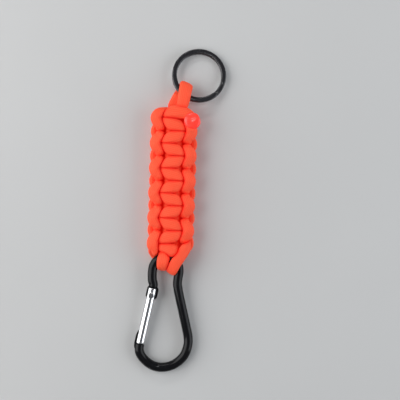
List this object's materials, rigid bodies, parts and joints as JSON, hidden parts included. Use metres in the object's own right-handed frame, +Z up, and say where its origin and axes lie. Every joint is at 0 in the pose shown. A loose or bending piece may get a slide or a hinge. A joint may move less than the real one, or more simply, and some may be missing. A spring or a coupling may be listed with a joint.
{
  "type": "paracord key fob",
  "caption": "Flat woven cord key fob with a split key ring at one end and a small gated carabiner at the other.",
  "frame": {"origin": "middle of the outline at the surface that the fob lies on", "axes": "+Y along the weave towards the key ring, +Z up from the surface, +X to the right seen from above with the key ring away from the viewer"},
  "size_m": [0.039, 0.152, 0.0102],
  "materials": {
    "cord_nylon": "fluorescent orange braided nylon, matt",
    "melted_nylon": "melted and set nylon, glossy, slightly translucent",
    "black_oxide_steel": "black oxide on steel wire, satin",
    "black_anodised": "black anodised aluminium rod, semi-gloss",
    "polished_aluminium": "drawn and tumbled aluminium, bright",
    "bright_steel": "bright steel"
  },
  "bodies": {
    "weave": {"key_ring_loop": "cord_nylon", "core_strand_left": "cord_nylon", "core_strand_right": "cord_nylon", "carabiner_wrap_left": "cord_nylon", "carabiner_wrap_right": "cord_nylon", "front_weaving_cord": "cord_nylon", "back_weaving_cord": "cord_nylon", "melted_end_front": "melted_nylon", "melted_end_back": "melted_nylon"},
    "key_ring": {"key_ring": "black_oxide_steel"},
    "carabiner": {"carabiner_body": "black_anodised"},
    "gate": {"gate": "polished_aluminium", "pivot_rivet": "bright_steel", "gate_spring": "bright_steel"},
    "plunger": {"spring_plunger": "bright_steel"}
  },
  "joints": [
    {"name": "key_ring_swing", "type": "hinge", "parent": "weave", "child": "key_ring", "pos_m": [0.00068, 0.05357, 0.00445], "axis": [0.8475, -0.5308, 0], "range_deg": [-110, 125]},
    {"name": "carabiner_tilt", "type": "hinge", "parent": "weave", "child": "carabiner", "pos_m": [-0.00569, -0.02214, 0.005], "axis": [1, 0, 0], "range_deg": [-25, 25]},
    {"name": "gate_swing", "type": "hinge", "parent": "carabiner", "child": "gate", "pos_m": [-0.01219, -0.03981, 0.00403], "axis": [0, -0.0548, 0.9985], "range_deg": [0, 35], "stiffness_Nm_per_rad": 0.01, "springref_deg": -28.65},
    {"name": "plunger_slide", "type": "slide", "parent": "gate", "child": "plunger", "axis": [-0.1928, -0.9798, -0.0538], "range_m": [0, 0.0004]}
  ],
  "couplings": [
    {"joint": "plunger_slide", "follows": "gate_swing", "m_per_rad": 0.00055}
  ]
}
